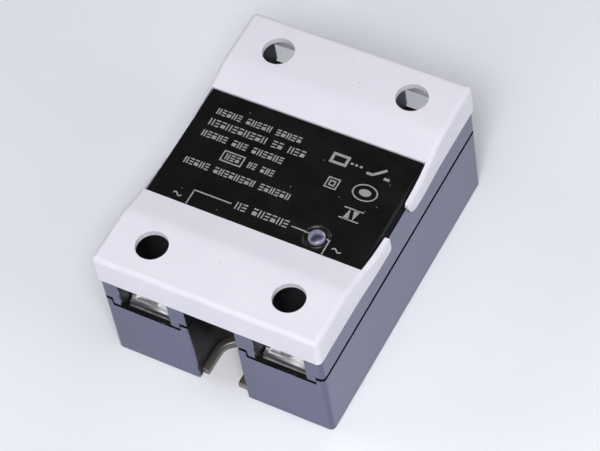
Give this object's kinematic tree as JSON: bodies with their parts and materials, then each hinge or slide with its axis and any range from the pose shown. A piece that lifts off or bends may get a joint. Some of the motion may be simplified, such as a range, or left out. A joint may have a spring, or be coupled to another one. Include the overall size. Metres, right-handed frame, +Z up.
{
  "type": "solid state relay",
  "caption": "Panel-mount solid state relay: metal base with hole and slot, black two-part case, four screw clamp terminals, lift-off white end covers, label and status light.",
  "frame": {"origin": "middle of the footprint, on the surface that the base plate rests on", "axes": "+Z up through the label, +Y towards the load terminals at the rear, +X to the right as seen from the control terminals"},
  "size_m": [0.045, 0.0598, 0.0287],
  "materials": {
    "plate_metal": "satin nickel plate",
    "case_plastic": "high gloss black",
    "cover_plastic": "fine satin, faintly lavender white",
    "label_film": "satin black film",
    "led_epoxy": "clear epoxy",
    "tinned_metal": "tinned",
    "board_laminate": "solder mask",
    "ceramic": "alumina",
    "copper": "bare copper",
    "silicon": "passivated",
    "potting_resin": "cast resin",
    "terminal_metal": "bright zinc plate",
    "package_black": "moulded",
    "capacitor_sleeve": "shrink sleeve",
    "resistor_lacquer": "lacquer",
    "film_capacitor": "moulded box",
    "varistor_coating": "dipped epoxy"
  },
  "bodies": {
    "housing": {"base_plate": "plate_metal", "lower_case": "case_plastic", "upper_case": "case_plastic", "label": "label_film", "led": "led_epoxy", "led_leads": "tinned_metal", "circuit_board": "board_laminate", "ceramic_substrate": "ceramic", "copper_pad_left": "copper", "copper_pad_right": "copper", "thyristor_die_left": "silicon", "thyristor_die_right": "silicon", "die_link_left": "copper", "die_link_right": "copper", "gate_lead_left": "tinned_metal", "gate_lead_right": "tinned_metal", "potting": "potting_resin", "control_strap_left": "terminal_metal", "control_strap_right": "terminal_metal", "load_strap_left": "terminal_metal", "load_strap_right": "terminal_metal", "terminal_nut_fl": "terminal_metal", "terminal_nut_fr": "terminal_metal", "terminal_nut_rl": "terminal_metal", "terminal_nut_rr": "terminal_metal", "optocoupler": "package_black", "bridge_rectifier": "package_black", "input_capacitor": "capacitor_sleeve", "dropper_resistor_1": "resistor_lacquer", "dropper_resistor_2": "resistor_lacquer", "snubber_capacitor": "film_capacitor", "snubber_resistor": "resistor_lacquer", "gate_resistor_1": "resistor_lacquer", "gate_resistor_2": "resistor_lacquer", "surge_varistor": "varistor_coating"},
    "front_cover": {"front_cover": "cover_plastic"},
    "rear_cover": {"rear_cover": "cover_plastic"},
    "clamp_fl": {"clamp_washer_fl": "terminal_metal"},
    "screw_fl": {"terminal_screw_fl": "terminal_metal"},
    "clamp_fr": {"clamp_washer_fr": "terminal_metal"},
    "screw_fr": {"terminal_screw_fr": "terminal_metal"},
    "clamp_rl": {"clamp_washer_rl": "terminal_metal"},
    "screw_rl": {"terminal_screw_rl": "terminal_metal"},
    "clamp_rr": {"clamp_washer_rr": "terminal_metal"},
    "screw_rr": {"terminal_screw_rr": "terminal_metal"}
  },
  "joints": [
    {"name": "front_cover_lift", "type": "slide", "parent": "housing", "child": "front_cover", "axis": [0, 0, 1], "range_m": [0, 0.012]},
    {"name": "rear_cover_lift", "type": "slide", "parent": "housing", "child": "rear_cover", "axis": [0, 0, 1], "range_m": [0, 0.012]},
    {"name": "clamp_fl_lift", "type": "slide", "parent": "housing", "child": "clamp_fl", "axis": [0, 0, 1], "range_m": [0, 0.003]},
    {"name": "screw_fl_turn", "type": "hinge", "parent": "clamp_fl", "child": "screw_fl", "pos_m": [-0.0135, -0.0232, 0.01435], "axis": [0, 0, 1], "range_deg": [0, 1545]},
    {"name": "clamp_fr_lift", "type": "slide", "parent": "housing", "child": "clamp_fr", "axis": [0, 0, 1], "range_m": [0, 0.003]},
    {"name": "screw_fr_turn", "type": "hinge", "parent": "clamp_fr", "child": "screw_fr", "pos_m": [0.0135, -0.0232, 0.01435], "axis": [0, 0, 1], "range_deg": [0, 1545]},
    {"name": "clamp_rl_lift", "type": "slide", "parent": "housing", "child": "clamp_rl", "axis": [0, 0, 1], "range_m": [0, 0.003]},
    {"name": "screw_rl_turn", "type": "hinge", "parent": "clamp_rl", "child": "screw_rl", "pos_m": [-0.0135, 0.0232, 0.01435], "axis": [0, 0, 1], "range_deg": [0, 1545]},
    {"name": "clamp_rr_lift", "type": "slide", "parent": "housing", "child": "clamp_rr", "axis": [0, 0, 1], "range_m": [0, 0.003]},
    {"name": "screw_rr_turn", "type": "hinge", "parent": "clamp_rr", "child": "screw_rr", "pos_m": [0.0135, 0.0232, 0.01435], "axis": [0, 0, 1], "range_deg": [0, 1545]}
  ],
  "couplings": [
    {"joint": "screw_fl_turn", "follows": "clamp_fl_lift", "rad_per_m": 8976},
    {"joint": "screw_fr_turn", "follows": "clamp_fr_lift", "rad_per_m": 8976},
    {"joint": "screw_rl_turn", "follows": "clamp_rl_lift", "rad_per_m": 8976},
    {"joint": "screw_rr_turn", "follows": "clamp_rr_lift", "rad_per_m": 8976}
  ]
}
